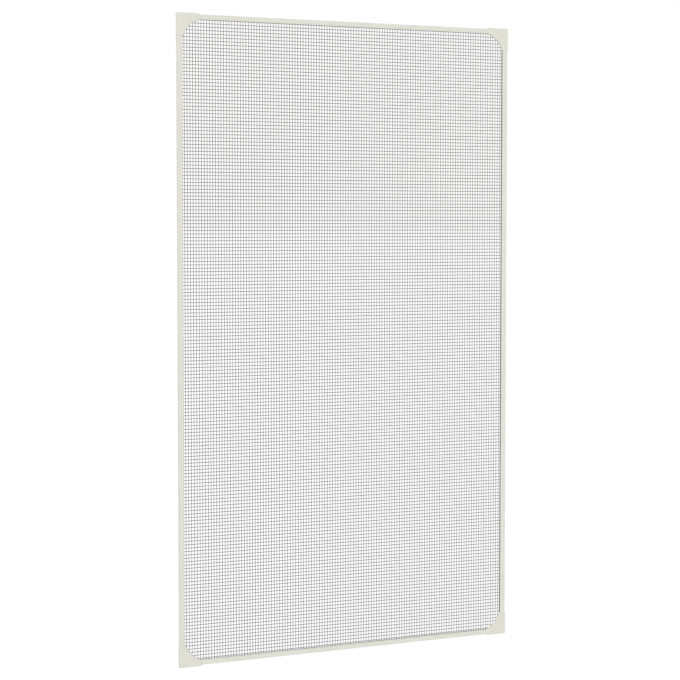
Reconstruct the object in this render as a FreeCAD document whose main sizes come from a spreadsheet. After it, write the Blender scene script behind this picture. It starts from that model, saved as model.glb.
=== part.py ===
"""A slim window screen: four hollow bars, four plugged corner pieces, a woven mesh and its rubber splines.

Millimetres. X runs along the rails, Y runs from the front to the back and Z is up. The origin is at the
middle of the whole frame. A bar's section is drawn outward from its inner edge and back from its front face.
"""

import FreeCAD
import Part
import Sketcher
import math
import os

SIZES = {
    # Whole frame, over the corner pieces
    "overall_width": 800,
    "overall_height": 1400,
    # Extruded bars; the corner mouldings share their inner round
    "bar_face": 11,
    "bar_depth": 8.6,
    "bar_wall": 1.2,
    "bar_edge": 0.5,
    "inner_round": 2,
    # Ledge behind the front face, where the mesh lies, and the groove in it
    "ledge_depth": 4,
    "ledge_width": 3.8,
    "groove_inset": 1.1,
    "groove_width": 1.8,
    "groove_floor": 1.4,
    # Corner mouldings
    "corner_leg": 49.5,
    "corner_over_rail": 2.2,
    "corner_over_stile": 1,
    "corner_over_face": 0.8,
    "corner_set_back": 1,
    "corner_round": 50,
    "corner_edge": 0.7,
    "corner_wall": 1.6,
    "seat_round": 12,
    "core_pitch": 12,
    # Plugs of the corner mouldings
    "plug_length": 32,
    "plug_gap": 0.1,
    "plug_tip": 4,
    "plug_taper": 0.8,
    "plug_barb": 0.3,
    "barb_pitch": 5.5,
    # Woven mesh
    "mesh_thickness": 0.4,
    "mesh_tuck": 2,
    "warp_pitch": 86,
    "weft_pitch": 106,
    "strand_width": 4,
    "ridge_width": 1.6,
    "ridge_rise": 0.3,
    # Rubber splines
    "spline_head": 3.6,
    "spline_edge": 0.8,
    "stem_short": 0.4,
    "stem_barb": 0.4,
    "stem_pitch": 1,
    "fit_gap": 0.05,
}

# Places closer than this, in millimetres, count as the same when an edge is picked by where it lies
SAME_PLACE = 1e-6

# Expressions that several pieces share
BAR_FRONT = "((Sizes.corner_over_face - Sizes.bar_depth) / 2)"
HALF_WIDTH = "(Sizes.overall_width / 2)"
HALF_HEIGHT = "(Sizes.overall_height / 2)"
RAIL_LENGTH = "(Sizes.overall_width - 2 * Sizes.corner_leg)"
STILE_LENGTH = "(Sizes.overall_height - 2 * Sizes.corner_leg)"
STILE_INSET = "(Sizes.corner_over_stile + Sizes.bar_face)"
RAIL_INSET = "(Sizes.corner_over_rail + Sizes.bar_face)"
OPENING_WIDTH = f"(Sizes.overall_width - 2 * {STILE_INSET})"
OPENING_HEIGHT = f"(Sizes.overall_height - 2 * {RAIL_INSET})"
INNER_ROUND = "min(Sizes.inner_round; Sizes.ledge_depth - Sizes.groove_floor)"

doc = FreeCAD.newDocument("window_screen")
sheet = doc.addObject("Spreadsheet::Sheet", "Sizes")
for row, (alias, number) in enumerate(SIZES.items(), start=1):
    sheet.set(f"A{row}", alias)
    sheet.set(f"B{row}", str(number))
    sheet.setAlias(f"B{row}", alias)
doc.recompute()


def new_body(label):
    body = doc.addObject("PartDesign::Body", label)
    body.Label = label
    return body


def origin_feature(body, role):
    return next(f for f in body.Origin.OriginFeatures if f.Role == role)


def new_sketch(body, name, plane, offset="0"):
    """A sketch on one of the body's own planes, moved along that plane's normal by an expression."""
    sketch = body.newObject("Sketcher::SketchObject", name)
    sketch.AttachmentSupport = [(origin_feature(body, plane), "")]
    sketch.MapMode = "FlatFace"
    sketch.setExpression("AttachmentOffset.Base.z", offset)
    return sketch


def pin(sketch, geometry, point, across, up):
    """Fixes a point of the sketch at two coordinates, each an expression."""
    drawn = sketch.getPoint(geometry, point)
    for kind, distance, expression in (("DistanceX", drawn.x, across), ("DistanceY", drawn.y, up)):
        index = sketch.addConstraint(Sketcher.Constraint(kind, geometry, point, distance))
        sketch.setExpression(f"Constraints[{index}]", expression)


def polygon(sketch, points):
    """A closed outline of straight lines through points given as pairs of expressions."""
    first = sketch.GeometryCount
    count = len(points)
    for i in range(count):
        here = 2 * math.pi * i / count
        after = 2 * math.pi * (i + 1) / count
        start = FreeCAD.Vector(math.cos(here), math.sin(here), 0)
        end = FreeCAD.Vector(math.cos(after), math.sin(after), 0)
        sketch.addGeometry(Part.LineSegment(start, end))
    for i in range(count):
        after = first + (i + 1) % count
        sketch.addConstraint(Sketcher.Constraint("Coincident", first + i, 2, after, 1))
    for i, (across, up) in enumerate(points):
        pin(sketch, first + i, 1, across, up)


def rectangle(sketch, left, bottom, right, top):
    polygon(sketch, [(left, bottom), (right, bottom), (right, top), (left, top)])


def extrude(body, kind, sketch, length, reverse=False):
    feature = body.newObject(f"PartDesign::{kind}", f"{sketch.Name}_{kind.lower()}")
    feature.Profile = sketch
    feature.Reversed = reverse
    feature.setExpression("Length", length)
    return feature


def repeat(body, feature, directions):
    """A linear pattern of a feature. Each direction is an axis role, a pitch, a count and a reversed flag."""
    pattern = body.newObject("PartDesign::LinearPattern", f"{feature.Name}_pattern")
    pattern.Originals = [feature]
    for suffix, (role, pitch, count, backwards) in zip(("", "2"), directions):
        setattr(pattern, f"Direction{suffix}", (origin_feature(body, role), [""]))
        setattr(pattern, f"Reversed{suffix}", backwards)
        pattern.setExpression(f"Length{suffix}", f"{pitch} * ({count} - 1)")
        pattern.setExpression(f"Occurrences{suffix}", count)
    body.Tip = pattern
    return pattern


def dress_edges(body, kind, size, chosen):
    """Rounds or bevels, by a Fillet or a Chamfer, the edges of the body that the test accepts."""
    doc.recompute()
    base = body.Tip
    names = [f"Edge{i}" for i, edge in enumerate(base.Shape.Edges, start=1) if chosen(edge)]
    dressed = body.newObject(f"PartDesign::{kind}", f"{body.Name}_{kind.lower()}")
    dressed.Base = (base, names)
    dressed.setExpression("Radius" if kind == "Fillet" else "Size", size)
    return dressed


def place(body, x, y, z):
    for axis, expression in zip("xyz", (x, y, z)):
        body.setExpression(f"Placement.Base.{axis}", expression)


# Each bar lies along its own Z with its inner edge at X = 0, so a turn about Y puts it in place
SIDES = {
    "right": (0, f"{HALF_WIDTH} - {STILE_INSET}", f"-{STILE_LENGTH} / 2", STILE_LENGTH),
    "left": (180, f"{STILE_INSET} - {HALF_WIDTH}", f"{STILE_LENGTH} / 2", STILE_LENGTH),
    "top": (-90, f"{RAIL_LENGTH} / 2", f"{HALF_HEIGHT} - {RAIL_INSET}", RAIL_LENGTH),
    "bottom": (90, f"-{RAIL_LENGTH} / 2", f"{RAIL_INSET} - {HALF_HEIGHT}", RAIL_LENGTH),
}


def turn_to_side(body, side):
    angle, x, z, _ = SIDES[side]
    body.Placement.Rotation = FreeCAD.Rotation(FreeCAD.Vector(0, 1, 0), angle)
    place(body, x, BAR_FRONT, z)


def runs_along(edge, direction):
    if edge.Curve.TypeId != "Part::GeomLine":
        return False
    return edge.tangentAt(0).cross(direction).Length < SAME_PLACE


def bar(label, side):
    """A hollow extrusion with a ledge behind its rounded inner edge and a spline groove in that ledge."""
    body = new_body(label)
    section = new_sketch(body, f"{label}_section", "XY_Plane")
    groove_end = "Sizes.groove_inset + Sizes.groove_width"
    polygon(section, [
        ("0", "0"),
        ("Sizes.bar_face", "0"),
        ("Sizes.bar_face", "Sizes.bar_depth"),
        ("Sizes.ledge_width", "Sizes.bar_depth"),
        ("Sizes.ledge_width", "Sizes.ledge_depth"),
        (groove_end, "Sizes.ledge_depth"),
        (groove_end, "Sizes.groove_floor"),
        ("Sizes.groove_inset", "Sizes.groove_floor"),
        ("Sizes.groove_inset", "Sizes.ledge_depth"),
        ("0", "Sizes.ledge_depth"),
    ])
    rectangle(section, "Sizes.ledge_width + Sizes.bar_wall", "Sizes.bar_wall",
              "Sizes.bar_face - Sizes.bar_wall", "Sizes.bar_depth - Sizes.bar_wall")
    extrude(body, "Pad", section, SIDES[side][3])
    for round_size, x in ((INNER_ROUND, 0), ("Sizes.bar_edge", float(sheet.bar_face))):
        dress_edges(body, "Fillet", round_size, lambda edge: runs_along(edge, FreeCAD.Vector(0, 0, 1))
                    and abs(edge.CenterOfMass.x - x) + abs(edge.CenterOfMass.y) < SAME_PLACE)
    turn_to_side(body, side)
    return body


def spline(side):
    """A T-shaped rubber strip: its head lies on the mesh, its barbed stem pins the mesh in the groove."""
    label = f"spline_{side}"
    body = new_body(label)
    section = new_sketch(body, f"{label}_section", "XY_Plane")
    stem_inner = "Sizes.groove_inset + 2 * Sizes.fit_gap + Sizes.mesh_thickness"
    stem_outer = "Sizes.groove_inset + Sizes.groove_width - Sizes.fit_gap"
    stem_tip = "Sizes.groove_floor + Sizes.stem_short"
    head_front = "Sizes.ledge_depth + Sizes.mesh_thickness"
    head_back = f"{head_front} + Sizes.spline_head"
    head_outer = "Sizes.ledge_width - Sizes.fit_gap"
    stem_core = f"{stem_outer} - Sizes.stem_barb"
    front = float(sheet.ledge_depth + sheet.mesh_thickness)
    stem_length = front - float(sheet.groove_floor + sheet.stem_short)
    barbs = math.ceil(stem_length / sheet.stem_pitch) - 1
    barbed_side = [(stem_core, stem_tip)]
    for i in range(1, barbs + 1):
        barb = f"{stem_tip} + {i} * Sizes.stem_pitch"
        barbed_side += [(stem_outer, barb), (stem_core, barb)]
    polygon(section, [
        ("0", head_front),
        (stem_inner, head_front),
        (stem_inner, stem_tip),
        *barbed_side,
        (stem_core, head_front),
        (head_outer, head_front),
        (head_outer, head_back),
        ("0", head_back),
    ])
    extrude(body, "Pad", section, SIDES[side][3])
    back = front + float(sheet.spline_head)
    dress_edges(body, "Fillet", "Sizes.spline_edge", lambda edge: runs_along(edge, FreeCAD.Vector(0, 0, 1))
                and abs(edge.CenterOfMass.y - back) < SAME_PLACE)
    turn_to_side(body, side)
    return body


def corner_outline(sketch, across, up):
    """The L of a corner piece: two square legs and a round inner edge; across and up are its directions."""
    leg = float(sheet.corner_leg)
    radius = float(sheet.corner_round)
    centre_x = float(sheet.corner_over_stile + sheet.bar_face) + radius
    centre_y = float(sheet.corner_over_rail + sheet.bar_face) + radius
    rail_end = centre_y - math.sqrt(radius ** 2 - (centre_x - leg) ** 2)
    stile_end = centre_x - math.sqrt(radius ** 2 - (centre_y - leg) ** 2)
    middle = radius * math.sqrt(0.5)

    def at(x, y):
        return FreeCAD.Vector(across * x, up * y, 0)

    sketch.addGeometry([
        Part.LineSegment(at(0, 0), at(leg, 0)),
        Part.LineSegment(at(leg, 0), at(leg, rail_end)),
        Part.Arc(at(leg, rail_end), at(centre_x - middle, centre_y - middle), at(stile_end, leg)),
        Part.LineSegment(at(stile_end, leg), at(0, leg)),
        Part.LineSegment(at(0, leg), at(0, 0)),
    ])
    arc_turns_left = across * up < 0
    arc_start, arc_end = (1, 2) if arc_turns_left else (2, 1)
    joined = ((0, 2, 1, 1), (1, 2, 2, arc_start), (2, arc_end, 3, 1), (3, 2, 4, 1), (4, 2, 0, 1))
    for one, its, other, point in joined:
        sketch.addConstraint(Sketcher.Constraint("Coincident", one, its, other, point))
    pin(sketch, 0, 1, "0", "0")
    pin(sketch, 0, 2, f"{across} * Sizes.corner_leg", "0")
    pin(sketch, 4, 1, "0", f"{up} * Sizes.corner_leg")
    sketch.addConstraint(Sketcher.Constraint("Vertical", 1))
    sketch.addConstraint(Sketcher.Constraint("Horizontal", 3))
    pin(sketch, 2, 3, f"{across} * ({STILE_INSET} + Sizes.corner_round)",
        f"{up} * ({RAIL_INSET} + Sizes.corner_round)")
    index = sketch.addConstraint(Sketcher.Constraint("Radius", 2, radius))
    sketch.setExpression(f"Constraints[{index}]", "Sizes.corner_round")


def corner(label, across, up):
    """A moulded corner: mesh seat, cored back and a plug for each bar. It is drawn from its outer corner."""
    body = new_body(label)
    back = "(Sizes.bar_depth - Sizes.corner_set_back)"

    outline = new_sketch(body, f"{label}_outline", "XZ_Plane", "Sizes.corner_over_face")
    corner_outline(outline, across, up)
    extrude(body, "Pad", outline, f"Sizes.corner_over_face + {back}", reverse=True)
    front = -float(sheet.corner_over_face)

    def is_in_front(edge):
        return all(abs(vertex.Y - front) < SAME_PLACE for vertex in edge.Vertexes)

    dress_edges(body, "Chamfer", "Sizes.corner_edge",
                lambda edge: is_in_front(edge) and edge.Curve.TypeId == "Part::GeomLine")
    dress_edges(body, "Fillet", INNER_ROUND,
                lambda edge: is_in_front(edge) and edge.Curve.TypeId == "Part::GeomCircle")

    # The mesh lies on a seat level with the bars' ledges
    seat = new_sketch(body, f"{label}_seat", "XZ_Plane", f"-{back}")
    rectangle(seat,
              f"{across} * ({STILE_INSET} - Sizes.ledge_width)", f"{up} * ({RAIL_INSET} - Sizes.ledge_width)",
              f"{across} * 2 * Sizes.corner_leg", f"{up} * 2 * Sizes.corner_leg")
    extrude(body, "Pocket", seat, f"{back} - Sizes.ledge_depth", reverse=True)
    seat_x = across * float(sheet.corner_over_stile + sheet.bar_face - sheet.ledge_width)
    seat_z = up * float(sheet.corner_over_rail + sheet.bar_face - sheet.ledge_width)
    dress_edges(body, "Fillet", "Sizes.seat_round", lambda edge: runs_along(edge, FreeCAD.Vector(0, 1, 0))
                and abs(edge.CenterOfMass.x - seat_x) + abs(edge.CenterOfMass.z - seat_z) < SAME_PLACE)

    # Cells cored out of the back leave walls and ribs of even thickness
    skin = f"{back} + Sizes.corner_over_face - Sizes.corner_wall"
    rail_wall = f"({RAIL_INSET} - Sizes.ledge_width - Sizes.corner_wall)"
    stile_wall = f"({STILE_INSET} - Sizes.ledge_width - Sizes.corner_wall)"
    cells = "max(1; floor((Sizes.corner_leg - 2 * Sizes.corner_wall) / Sizes.core_pitch) - 1)"
    cell_end = "(2 * Sizes.core_pitch)"
    rail_cell = new_sketch(body, f"{label}_rail_cell", "XZ_Plane", f"-{back}")
    rectangle(rail_cell, f"{across} * (Sizes.core_pitch + Sizes.corner_wall)", f"{up} * Sizes.corner_wall",
              f"{across} * {cell_end}", f"{up} * {rail_wall}")
    repeat(body, extrude(body, "Pocket", rail_cell, skin, reverse=True),
           [("X_Axis", "Sizes.core_pitch", cells, across < 0)])
    stile_cell = new_sketch(body, f"{label}_stile_cell", "XZ_Plane", f"-{back}")
    rectangle(stile_cell, f"{across} * Sizes.corner_wall", f"{up} * (Sizes.core_pitch + Sizes.corner_wall)",
              f"{across} * {stile_wall}", f"{up} * {cell_end}")
    repeat(body, extrude(body, "Pocket", stile_cell, skin, reverse=True),
           [("Z_Axis", "Sizes.core_pitch", cells, up < 0)])

    # Barbed plugs with tapered tips fill the hollow of each bar
    plug_inset = "(Sizes.bar_wall + Sizes.plug_gap)"
    plug_depth = f"Sizes.bar_depth - 2 * {plug_inset}"
    root = "(Sizes.corner_leg - Sizes.corner_wall)"
    shoulder = "(Sizes.corner_leg + Sizes.plug_length - Sizes.plug_tip)"
    tip = "(Sizes.corner_leg + Sizes.plug_length)"
    barbs = math.ceil((sheet.plug_length - sheet.plug_tip) / sheet.barb_pitch) - 2
    for bar_kind in ("rail", "stile"):
        low = f"(Sizes.corner_over_{bar_kind} + {plug_inset})"
        high = f"(Sizes.corner_over_{bar_kind} + Sizes.bar_face - Sizes.ledge_width - {plug_inset})"
        low_core = f"({low} + Sizes.plug_barb)"
        high_core = f"({high} - Sizes.plug_barb)"
        low_side = [(root, low_core)]
        high_side = [(root, high_core)]
        for i in range(1, barbs + 1):
            barb = f"(Sizes.corner_leg + {i} * Sizes.barb_pitch)"
            low_side += [(barb, low_core), (barb, low)]
            high_side += [(barb, high_core), (barb, high)]
        ramp_end = f"(Sizes.corner_leg + {barbs + 1} * Sizes.barb_pitch)"
        low_side += [(ramp_end, low_core), (shoulder, low_core), (tip, f"({low} + Sizes.plug_taper)")]
        high_side += [(ramp_end, high_core), (shoulder, high_core), (tip, f"({high} - Sizes.plug_taper)")]
        plug_outline = low_side + high_side[::-1]
        plug = new_sketch(body, f"{label}_{bar_kind}_plug", "XZ_Plane", f"-{plug_inset}")
        if bar_kind == "rail":
            polygon(plug, [(f"{across} * {along}", f"{up} * {aside}") for along, aside in plug_outline])
        else:
            polygon(plug, [(f"{across} * {aside}", f"{up} * {along}") for along, aside in plug_outline])
        extrude(body, "Pad", plug, plug_depth, reverse=True)

    place(body, f"{-across} * {HALF_WIDTH}", BAR_FRONT, f"{-up} * {HALF_HEIGHT}")
    return body


def screen_mesh():
    """A stretched wall of crossing strands; each strand rides over one crossing and under the next."""
    body = new_body("screen_mesh")
    edge = "(Sizes.groove_inset + Sizes.fit_gap + Sizes.mesh_thickness)"
    half_width = f"({OPENING_WIDTH} / 2 + {edge})"
    half_height = f"({OPENING_HEIGHT} / 2 + {edge})"
    front = "-Sizes.ledge_depth"
    behind = "-(Sizes.ledge_depth + Sizes.mesh_thickness)"

    wall = new_sketch(body, "mesh_wall", "XZ_Plane", front)
    rectangle(wall, f"-{half_width}", f"-{half_height}", half_width, half_height)
    extrude(body, "Pad", wall, "Sizes.mesh_thickness", reverse=True)
    dress_edges(body, "Fillet", "Sizes.seat_round", lambda edge: runs_along(edge, FreeCAD.Vector(0, 1, 0)))

    # The edges of the wall are tucked into the grooves of the four bars
    tuck = new_sketch(body, "mesh_tuck", "XZ_Plane", front)
    for sign in (-1, 1):
        rectangle(tuck, f"{sign} * ({half_width} - Sizes.mesh_thickness)", f"-{STILE_LENGTH} / 2",
                  f"{sign} * {half_width}", f"{STILE_LENGTH} / 2")
        rectangle(tuck, f"-{RAIL_LENGTH} / 2", f"{sign} * ({half_height} - Sizes.mesh_thickness)",
                  f"{RAIL_LENGTH} / 2", f"{sign} * {half_height}")
    extrude(body, "Pad", tuck, "Sizes.mesh_tuck")

    columns = f"max(3; round({OPENING_WIDTH} / Sizes.warp_pitch))"
    rows = f"max(3; round({OPENING_HEIGHT} / Sizes.weft_pitch))"
    pitch_x = f"({OPENING_WIDTH} / {columns})"
    pitch_z = f"({OPENING_HEIGHT} / {rows})"
    left = f"(-{OPENING_WIDTH} / 2)"
    bottom = f"(-{OPENING_HEIGHT} / 2)"
    # On each face the raised strand changes from upright to level at every crossing
    half_ridge = "(Sizes.ridge_width / 2)"
    for face, plane, reverse in (("front", front, False), ("back", behind, True)):
        ridges = new_sketch(body, f"ridges_{face}", "XZ_Plane", plane)
        for column, row in ((1, 1), (1, 2), (2, 1), (2, 2)):
            upright = (column == row) == (face == "front")
            x = f"({left} + {column} * {pitch_x})"
            z = f"({bottom} + {row} * {pitch_z})"
            reach_x = half_ridge if upright else f"({pitch_x} / 2)"
            reach_z = f"({pitch_z} / 2)" if upright else half_ridge
            rectangle(ridges, f"{x} - {reach_x}", f"{z} - {reach_z}",
                      f"{x} + {reach_x}", f"{z} + {reach_z}")
        repeat(body, extrude(body, "Pad", ridges, "Sizes.ridge_rise", reverse),
               [("X_Axis", f"2 * {pitch_x}", f"floor(({columns} - 1) / 2)", False),
                ("Z_Axis", f"2 * {pitch_z}", f"floor(({rows} - 1) / 2)", False)])

    # Open cells between the strands
    gap = new_sketch(body, "mesh_gap", "XZ_Plane", front)
    half_strand = "Sizes.strand_width / 2"
    rectangle(gap, f"{left} + {half_strand}", f"{bottom} + {half_strand}",
              f"{left} + {pitch_x} - {half_strand}", f"{bottom} + {pitch_z} - {half_strand}")
    repeat(body, extrude(body, "Pocket", gap, "Sizes.mesh_thickness"),
           [("X_Axis", pitch_x, columns, False), ("Z_Axis", pitch_z, rows, False)])
    place(body, "0", BAR_FRONT, "0")
    return body


pieces = [
    bar("left_stile", "left"),
    bar("right_stile", "right"),
    bar("top_rail", "top"),
    bar("bottom_rail", "bottom"),
    corner("corner_bottom_left", 1, 1),
    corner("corner_bottom_right", -1, 1),
    corner("corner_top_left", 1, -1),
    corner("corner_top_right", -1, -1),
]
pieces += [spline(side) for side in SIDES]
pieces.append(screen_mesh())
doc.recompute()

for item in doc.Objects:
    if "Invalid" in item.State or "Error" in item.State:
        raise RuntimeError(f"{item.Name} failed: {item.State}")
for piece in pieces:
    if piece.Shape.isNull() or not piece.Shape.isValid() or len(piece.Shape.Solids) != 1:
        raise RuntimeError(f"{piece.Label} isn't one valid solid")

os.makedirs("parts", exist_ok=True)
for piece in pieces:
    piece.Shape.exportStep(os.path.join("parts", f"{piece.Label}.step"))
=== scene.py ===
"""Looks of a slim window screen: coated bars, moulded corner pieces, rubber splines and a woven mesh.

Metres, in the frame of the solids: X along the rails, Y from the front to the back, Z up.
"""

import math

import bpy
import numpy as np
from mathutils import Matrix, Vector

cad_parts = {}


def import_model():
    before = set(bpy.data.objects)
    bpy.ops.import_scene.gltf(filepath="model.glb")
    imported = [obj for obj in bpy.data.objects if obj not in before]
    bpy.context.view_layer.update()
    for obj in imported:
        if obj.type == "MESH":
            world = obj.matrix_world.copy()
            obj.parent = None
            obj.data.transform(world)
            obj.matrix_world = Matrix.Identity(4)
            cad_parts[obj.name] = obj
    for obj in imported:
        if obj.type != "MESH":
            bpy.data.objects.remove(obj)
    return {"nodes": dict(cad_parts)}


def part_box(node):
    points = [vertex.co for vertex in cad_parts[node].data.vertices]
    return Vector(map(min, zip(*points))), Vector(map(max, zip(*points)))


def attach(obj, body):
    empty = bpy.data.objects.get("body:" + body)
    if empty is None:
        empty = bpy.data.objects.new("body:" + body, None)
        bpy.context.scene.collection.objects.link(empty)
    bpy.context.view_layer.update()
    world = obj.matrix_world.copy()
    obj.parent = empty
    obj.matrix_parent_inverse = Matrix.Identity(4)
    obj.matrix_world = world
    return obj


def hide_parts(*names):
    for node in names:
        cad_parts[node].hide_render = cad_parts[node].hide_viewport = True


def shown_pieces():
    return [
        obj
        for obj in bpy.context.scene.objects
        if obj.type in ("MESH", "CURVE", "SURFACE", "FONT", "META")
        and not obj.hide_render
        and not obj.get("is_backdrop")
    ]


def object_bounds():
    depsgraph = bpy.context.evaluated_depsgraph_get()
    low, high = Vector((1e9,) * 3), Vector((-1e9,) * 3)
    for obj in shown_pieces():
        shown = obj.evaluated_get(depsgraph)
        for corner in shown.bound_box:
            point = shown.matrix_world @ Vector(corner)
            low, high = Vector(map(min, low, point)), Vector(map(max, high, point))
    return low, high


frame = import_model()
cad_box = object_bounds()

STILES = ("left_stile", "right_stile")
RAILS = ("top_rail", "bottom_rail")
CORNERS = ("corner_top_left", "corner_top_right", "corner_bottom_left", "corner_bottom_right")
UPRIGHT_SPLINES = ("spline_left", "spline_right")
LEVEL_SPLINES = ("spline_top", "spline_bottom")
X, Y, Z = range(3)

# Camera, fitted to the outer edges of the frame in the photograph
CAMERA_PLACE = (-1.6547, -3.6125, 0.2584)
CAMERA_YAW = math.radians(24.34)
CAMERA_PITCH = math.radians(2.911)
CAMERA_LENS = 94.806
CAMERA_SHIFT = 0.04
SENSOR_WIDTH = 36.0

# Weave: pitches and first strands as the photograph shows them
WARP_PITCH = 0.00638
WEFT_PITCH = 0.00733
FIRST_WARP = 0.0049
FIRST_WEFT = 0.0001
STRAND_WIDTH = 0.00108
STRAND_THICKNESS = 0.0005
STRAND_SIDES = 4
MESH_PLANE = 0.0003
MESH_THICKNESS = 0.0004
MESH_CORNER_ROUND = 0.012
IN_FRONT = -1.0
BEHIND = 1.0

# Colours, linear, each with the shade that it varies to
COAT = (0.750, 0.752, 0.678)
COAT_SHADE = (0.720, 0.722, 0.646)
PLASTIC = (0.752, 0.753, 0.672)
PLASTIC_SHADE = (0.724, 0.725, 0.640)
RUBBER = (0.070, 0.070, 0.066)
RUBBER_SHADE = (0.045, 0.045, 0.043)
YARN = (0.058, 0.058, 0.058)
YARN_SHADE = (0.032, 0.032, 0.033)

# Finishes: scales of noise in turns per metre, relief in metres, roughness from low to high
COAT_CLOUD_SCALE = 9.0
COAT_PEEL_SCALE = 700.0
COAT_LINE_SCALE = 1500.0
COAT_ROUGHNESS = (0.36, 0.50)
COAT_LINE_RELIEF = 0.000006
COAT_PEEL_RELIEF = 0.000030
PLASTIC_CLOUD_SCALE = 25.0
PLASTIC_FLOW_SCALE = 60.0
PLASTIC_GRAIN_SCALE = 2600.0
PLASTIC_GRAIN_DETAIL = 4.0
PLASTIC_ROUGHNESS = (0.40, 0.52)
PLASTIC_FLOW_RELIEF = 0.00008
PLASTIC_GRAIN_RELIEF = 0.000018
RUBBER_LINE_SCALE = 1200.0
RUBBER_DUST_SCALE = 220.0
RUBBER_DUST_DETAIL = 5.0
RUBBER_ROUGHNESS = (0.62, 0.80)
RUBBER_LINE_RELIEF = 0.00004
RUBBER_DUST_RELIEF = 0.00002
YARN_TONE_SCALE = 300.0
YARN_TWIST_SCALE = 2400.0
YARN_ROUGHNESS = (0.50, 0.68)
YARN_TWIST_RELIEF = 0.00004
EVEN = (1.0, 1.0, 1.0)
ALONG_X = (0.004, 1.0, 1.0)
ALONG_Z = (1.0, 1.0, 0.004)
NOISE_DETAIL = 3.0
NOISE_LOW = 0.3
NOISE_HIGH = 0.7
SHADE_UP_TO = 0.35
COLOUR_FROM = 0.65

# Studio: a sky that is brighter towards the key side, a broad lamp there and one like it behind,
# and a pale floor
KEY_SIDE = Vector((-0.50, -0.80, 0.15)).normalized()
FILL_SIDE = Vector((0.10, 0.95, 0.28)).normalized()
SKY_DIM = 0.15
SKY_BRIGHT = 0.65
SKY_SEEN = 1.0
KEY_STRENGTH = 1.72
FILL_STRENGTH = 1.8
LAMP_SPREAD = math.radians(28.0)
FLOOR_DROP = 0.15
FLOOR_SIZE = 400.0
FLOOR_COLOUR = (0.80, 0.80, 0.80, 1.0)
FLOOR_BOUNCE = 0.28
FLOOR_GLOW = 0.69

# Half sizes of the solids along X and Z: of the opening, of the rail's and the stile's length, and of
# the mesh, with the depth to which its edges turn into the grooves
opening = (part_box("right_stile")[0].x, 0.0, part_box("top_rail")[0].z)
bar_half = (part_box("top_rail")[1].x, 0.0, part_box("right_stile")[1].z)
mesh_low, mesh_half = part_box("screen_mesh")
tuck_depth = mesh_low.y


def add(name, data):
    """A new object in the scene."""
    item = bpy.data.objects.new(name, data)
    bpy.context.scene.collection.objects.link(item)
    return item


class Finish:
    """A material in the making: noise drives its colour, its roughness and its relief."""

    def __init__(self, name):
        self.material = bpy.data.materials.new(name)
        self.material.use_nodes = True
        self.nodes = self.material.node_tree.nodes
        self.links = self.material.node_tree.links
        self.shader = self.nodes["Principled BSDF"]
        self.place = self.nodes.new("ShaderNodeTexCoord").outputs["Object"]
        self.normal = None

    def noise(self, scale, detail=NOISE_DETAIL, stretch=EVEN):
        """Noise with a scale in turns per metre; stretch changes that scale along each axis."""
        mapping = self.nodes.new("ShaderNodeMapping")
        mapping.inputs["Scale"].default_value = stretch
        texture = self.nodes.new("ShaderNodeTexNoise")
        texture.inputs["Scale"].default_value = scale
        texture.inputs["Detail"].default_value = detail
        self.links.new(self.place, mapping.inputs["Vector"])
        self.links.new(mapping.outputs["Vector"], texture.inputs["Vector"])
        return texture.outputs["Fac"]

    def colour(self, noise, shade, colour):
        """The base colour, from the shade to the colour."""
        ramp = self.nodes.new("ShaderNodeValToRGB")
        low, high = ramp.color_ramp.elements
        low.position = SHADE_UP_TO
        low.color = (*shade, 1.0)
        high.position = COLOUR_FROM
        high.color = (*colour, 1.0)
        self.links.new(noise, ramp.inputs["Fac"])
        self.links.new(ramp.outputs["Color"], self.shader.inputs["Base Color"])

    def roughness(self, noise, low, high):
        """Roughness in a range; noise stays mostly between NOISE_LOW and NOISE_HIGH."""
        ranged = self.nodes.new("ShaderNodeMapRange")
        ranged.inputs["From Min"].default_value = NOISE_LOW
        ranged.inputs["From Max"].default_value = NOISE_HIGH
        ranged.inputs["To Min"].default_value = low
        ranged.inputs["To Max"].default_value = high
        self.links.new(noise, ranged.inputs["Value"])
        self.links.new(ranged.outputs["Result"], self.shader.inputs["Roughness"])

    def relief(self, noise, depth):
        """A bump of a depth in metres, on top of the relief that is there already."""
        bump = self.nodes.new("ShaderNodeBump")
        bump.inputs["Strength"].default_value = 1.0
        bump.inputs["Distance"].default_value = depth
        self.links.new(noise, bump.inputs["Height"])
        if self.normal is not None:
            self.links.new(self.normal, bump.inputs["Normal"])
        self.normal = bump.outputs["Normal"]
        self.links.new(self.normal, self.shader.inputs["Normal"])


def coated_bar(name, grain):
    """Satin powder coat on an extrusion: soft orange peel, and faint draw lines along the bar."""
    finish = Finish(name)
    finish.colour(finish.noise(COAT_CLOUD_SCALE), COAT_SHADE, COAT)
    peel = finish.noise(COAT_PEEL_SCALE)
    lines = finish.noise(COAT_LINE_SCALE, stretch=grain)
    finish.roughness(peel, *COAT_ROUGHNESS)
    finish.relief(lines, COAT_LINE_RELIEF)
    finish.relief(peel, COAT_PEEL_RELIEF)
    return finish.material


def moulded_plastic():
    """Moulded plastic with the fine even grain of an eroded mould."""
    finish = Finish("moulded_plastic")
    finish.colour(finish.noise(PLASTIC_CLOUD_SCALE), PLASTIC_SHADE, PLASTIC)
    grain = finish.noise(PLASTIC_GRAIN_SCALE, detail=PLASTIC_GRAIN_DETAIL)
    flow = finish.noise(PLASTIC_FLOW_SCALE)
    finish.roughness(flow, *PLASTIC_ROUGHNESS)
    finish.relief(flow, PLASTIC_FLOW_RELIEF)
    finish.relief(grain, PLASTIC_GRAIN_RELIEF)
    return finish.material


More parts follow.
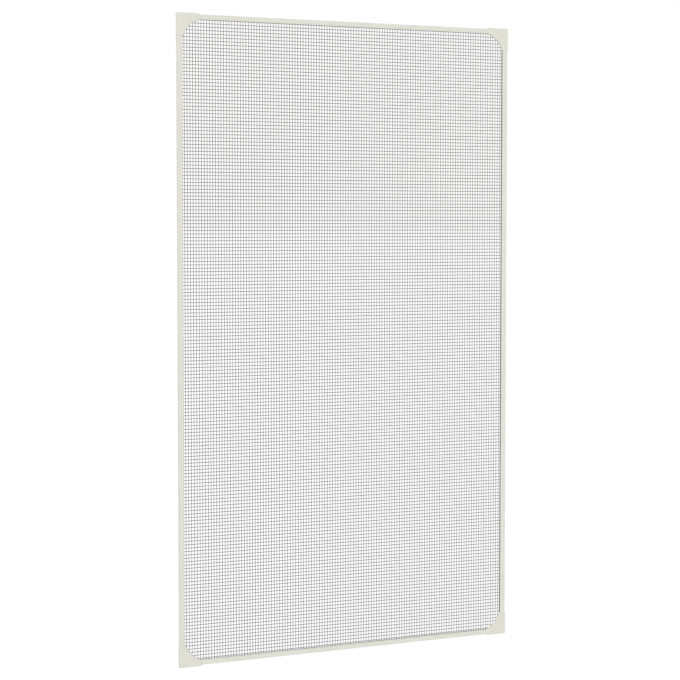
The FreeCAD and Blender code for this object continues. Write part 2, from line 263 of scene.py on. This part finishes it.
def extruded_rubber(name, grain):
    """Dull extruded rubber with lines along the strip."""
    finish = Finish(name)
    lines = finish.noise(RUBBER_LINE_SCALE, stretch=grain)
    dust = finish.noise(RUBBER_DUST_SCALE, detail=RUBBER_DUST_DETAIL)
    finish.colour(dust, RUBBER_SHADE, RUBBER)
    finish.roughness(lines, *RUBBER_ROUGHNESS)
    finish.relief(lines, RUBBER_LINE_RELIEF)
    finish.relief(dust, RUBBER_DUST_RELIEF)
    return finish.material


def coated_yarn(name, grain):
    """Glass yarn in a dark coating, through which the bundle shows as a fine relief."""
    finish = Finish(name)
    finish.colour(finish.noise(YARN_TONE_SCALE, stretch=grain), YARN_SHADE, YARN)
    twist = finish.noise(YARN_TWIST_SCALE)
    finish.roughness(twist, *YARN_ROUGHNESS)
    finish.relief(twist, YARN_TWIST_RELIEF)
    return finish.material


def wear(names, material):
    """Gives CAD nodes their finish."""
    for name in names:
        slots = frame["nodes"][name].data.materials
        slots.clear()
        slots.append(material)


def strand_end(place, along, across):
    """Where a strand ends: just inside the mesh's outline, which is rounded at its corners."""
    end = mesh_half[along]
    past = abs(place) - (mesh_half[across] - MESH_CORNER_ROUND)
    if past > 0:
        end += math.sqrt(MESH_CORNER_ROUND ** 2 - past ** 2) - MESH_CORNER_ROUND
    return end - STRAND_THICKNESS / 2


def strand_path(number, place, crossings, first_side, along, across):
    """Points along a strand, and its thickness at each of them."""
    # On a bar's ledge a strand is flat, and those that cross it there are flat too
    edge = opening[along]
    woven = np.flatnonzero(np.abs(crossings) < edge - STRAND_WIDTH / 2)
    side = np.where((woven + number) % 2 == 0, first_side, -first_side)
    if abs(place) > opening[across] - STRAND_WIDTH / 2:
        side = np.zeros(len(side))
    end = strand_end(place, along, across)
    runs = np.concatenate([[-end, -edge], crossings[woven], [edge, end]])
    depths = MESH_PLANE + np.concatenate([[0, 0], side, [0, 0]]) * STRAND_THICKNESS / 2
    thick = np.full(len(runs), STRAND_THICKNESS)
    thick[[0, 1, -2, -1]] = MESH_THICKNESS
    # Beside the bars a strand turns into the groove; beside a corner piece it stops on the seat
    if abs(place) <= bar_half[across]:
        runs = np.concatenate([[-end], runs, [end]])
        depths = np.concatenate([[tuck_depth], depths, [tuck_depth]])
        thick = np.concatenate([[MESH_THICKNESS], thick, [MESH_THICKNESS]])
    points = np.zeros((len(runs), 3))
    points[:, along] = runs
    points[:, Y] = depths
    points[:, across] = place
    return points, thick


def strand_rings(points, thick, across):
    """Vertices of a tube of diamond section round the points, a ring of four for each."""
    run = np.gradient(points, axis=0)
    run /= np.linalg.norm(run, axis=1)[:, None]
    aside = np.zeros(3)
    aside[across] = 1.0
    wide = aside * STRAND_WIDTH / 2
    deep = np.cross(run, aside) * thick[:, None] / 2
    rings = np.stack([points + wide, points + deep, points - wide, points - deep], axis=1)
    return rings.reshape(-1, 3)


def strand_faces(count, first):
    """Quads of a tube of count rings, with a cap at each end."""
    corner = np.arange(STRAND_SIDES)
    after = (corner + 1) % STRAND_SIDES
    ring = np.arange(count - 1)[:, None] * STRAND_SIDES + first
    beyond = ring + STRAND_SIDES
    quads = np.stack([ring + corner, ring + after, beyond + after, beyond + corner], axis=-1)
    last = first + (count - 1) * STRAND_SIDES
    return np.concatenate([quads.reshape(-1, 4), [first + corner[::-1], last + corner]])


def mesh_object(name, vertices, quads, material):
    """A smooth object of quads."""
    mesh = bpy.data.meshes.new(name)
    mesh.vertices.add(len(vertices))
    mesh.vertices.foreach_set("co", vertices.astype(np.float32).ravel())
    mesh.loops.add(quads.size)
    mesh.loops.foreach_set("vertex_index", quads.astype(np.int32).ravel())
    mesh.polygons.add(len(quads))
    mesh.polygons.foreach_set("loop_start", np.arange(0, quads.size, quads.shape[1], dtype=np.int32))
    mesh.polygons.foreach_set("use_smooth", np.ones(len(quads), bool))
    mesh.update(calc_edges=True)
    mesh.validate()
    mesh.materials.append(material)
    return add(name, mesh)


def woven_set(name, places, crossings, first_side, along, across, material):
    """All strands of one direction. Each passes in front of one crossing strand and behind the next."""
    vertices = []
    faces = []
    first = 0
    for number, place in enumerate(places):
        points, thick = strand_path(number, place, crossings, first_side, along, across)
        vertices.append(strand_rings(points, thick, across))
        faces.append(strand_faces(len(points), first))
        first += len(points) * STRAND_SIDES
    piece = mesh_object(name, np.concatenate(vertices), np.concatenate(faces), material)
    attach(piece, "root")
    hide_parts("screen_mesh")


def seen_directly(nodes, links):
    """1 for rays from the camera and for those that glossy or clear surfaces send on, else 0."""
    path = nodes.new("ShaderNodeLightPath")
    total = path.outputs["Is Camera Ray"]
    for kind in ("Is Glossy Ray", "Is Transmission Ray"):
        either = nodes.new("ShaderNodeMath")
        either.operation = "MAXIMUM"
        links.new(total, either.inputs[0])
        links.new(path.outputs[kind], either.inputs[1])
        total = either.outputs[0]
    return total


def floor():
    """A pale floor that reads as white to the camera and still takes the object's shadow."""
    low = cad_box[0].z - FLOOR_DROP
    half = FLOOR_SIZE / 2
    mesh = bpy.data.meshes.new("floor")
    square = [(-half, -half, low), (half, -half, low), (half, half, low), (-half, half, low)]
    mesh.from_pydata(square, [], [(0, 1, 2, 3)])
    material = bpy.data.materials.new("pale_floor")
    material.use_nodes = True
    nodes = material.node_tree.nodes
    links = material.node_tree.links
    nodes.clear()
    diffuse = nodes.new("ShaderNodeBsdfDiffuse")
    diffuse.inputs["Color"].default_value = FLOOR_COLOUR
    level = nodes.new("ShaderNodeMix")
    level.inputs["A"].default_value = FLOOR_BOUNCE
    level.inputs["B"].default_value = FLOOR_GLOW
    links.new(seen_directly(nodes, links), level.inputs["Factor"])
    glow = nodes.new("ShaderNodeEmission")
    links.new(level.outputs["Result"], glow.inputs["Strength"])
    both = nodes.new("ShaderNodeAddShader")
    links.new(diffuse.outputs[0], both.inputs[0])
    links.new(glow.outputs[0], both.inputs[1])
    output = nodes.new("ShaderNodeOutputMaterial")
    links.new(both.outputs[0], output.inputs["Surface"])
    mesh.materials.append(material)
    add("floor", mesh)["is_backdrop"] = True


def world():
    """White where it is looked at, and elsewhere a soft light that grows towards the key side."""
    sky = bpy.data.worlds.new("studio")
    sky.use_nodes = True
    nodes = sky.node_tree.nodes
    links = sky.node_tree.links
    towards = nodes.new("ShaderNodeVectorMath")
    towards.operation = "DOT_PRODUCT"
    towards.inputs[1].default_value = KEY_SIDE
    links.new(nodes.new("ShaderNodeTexCoord").outputs["Generated"], towards.inputs[0])
    level = nodes.new("ShaderNodeMapRange")
    level.inputs["From Min"].default_value = -1.0
    level.inputs["To Min"].default_value = SKY_DIM
    level.inputs["To Max"].default_value = SKY_BRIGHT
    links.new(towards.outputs["Value"], level.inputs["Value"])
    choice = nodes.new("ShaderNodeMix")
    choice.inputs["B"].default_value = SKY_SEEN
    links.new(seen_directly(nodes, links), choice.inputs["Factor"])
    links.new(level.outputs["Result"], choice.inputs["A"])
    back = nodes["Background"]
    back.inputs["Color"].default_value = (1.0, 1.0, 1.0, 1.0)
    links.new(choice.outputs["Result"], back.inputs["Strength"])
    bpy.context.scene.world = sky


def lamp(name, side, strength, lit):
    """A broad far lamp. It lights only what is in a collection, so the floor stays even."""
    light = bpy.data.lights.new(name, "SUN")
    light.energy = strength
    light.angle = LAMP_SPREAD
    item = add(name, light)
    item.rotation_euler = (-side).to_track_quat("-Z", "Y").to_euler()
    item.light_linking.receiver_collection = lit


def lamps():
    """The key lamp on the camera's side and a fill behind, on all pieces of the part."""
    lit = bpy.data.collections.new("lit_by_lamps")
    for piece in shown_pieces():
        lit.objects.link(piece)
    lamp("key", KEY_SIDE, KEY_STRENGTH, lit)
    lamp("fill", FILL_SIDE, FILL_STRENGTH, lit)


def camera():
    """The photograph's view of the frame."""
    data = bpy.data.cameras.new("camera")
    data.lens = CAMERA_LENS
    data.sensor_width = SENSOR_WIDTH
    data.shift_y = -CAMERA_SHIFT
    data.clip_end = FLOOR_SIZE
    item = add("camera", data)
    item.location = CAMERA_PLACE
    item.rotation_euler = (math.pi / 2 - CAMERA_PITCH, 0.0, -CAMERA_YAW)
    bpy.context.scene.camera = item


wear(STILES, coated_bar("coated_stile", ALONG_Z))
wear(RAILS, coated_bar("coated_rail", ALONG_X))
wear(CORNERS, moulded_plastic())
wear(UPRIGHT_SPLINES, extruded_rubber("upright_rubber", ALONG_Z))
wear(LEVEL_SPLINES, extruded_rubber("level_rubber", ALONG_X))

warps = np.arange(-opening[X] + FIRST_WARP, opening[X], WARP_PITCH)
wefts = np.arange(opening[Z] - FIRST_WEFT, -opening[Z], -WEFT_PITCH)[::-1]
woven_set("mesh_warp", warps, wefts, IN_FRONT, Z, X, coated_yarn("warp_yarn", ALONG_Z))
woven_set("mesh_weft", wefts, warps, BEHIND, X, Z, coated_yarn("weft_yarn", ALONG_X))

floor()
world()
lamps()
camera()
bpy.context.scene.view_settings.view_transform = "Standard"
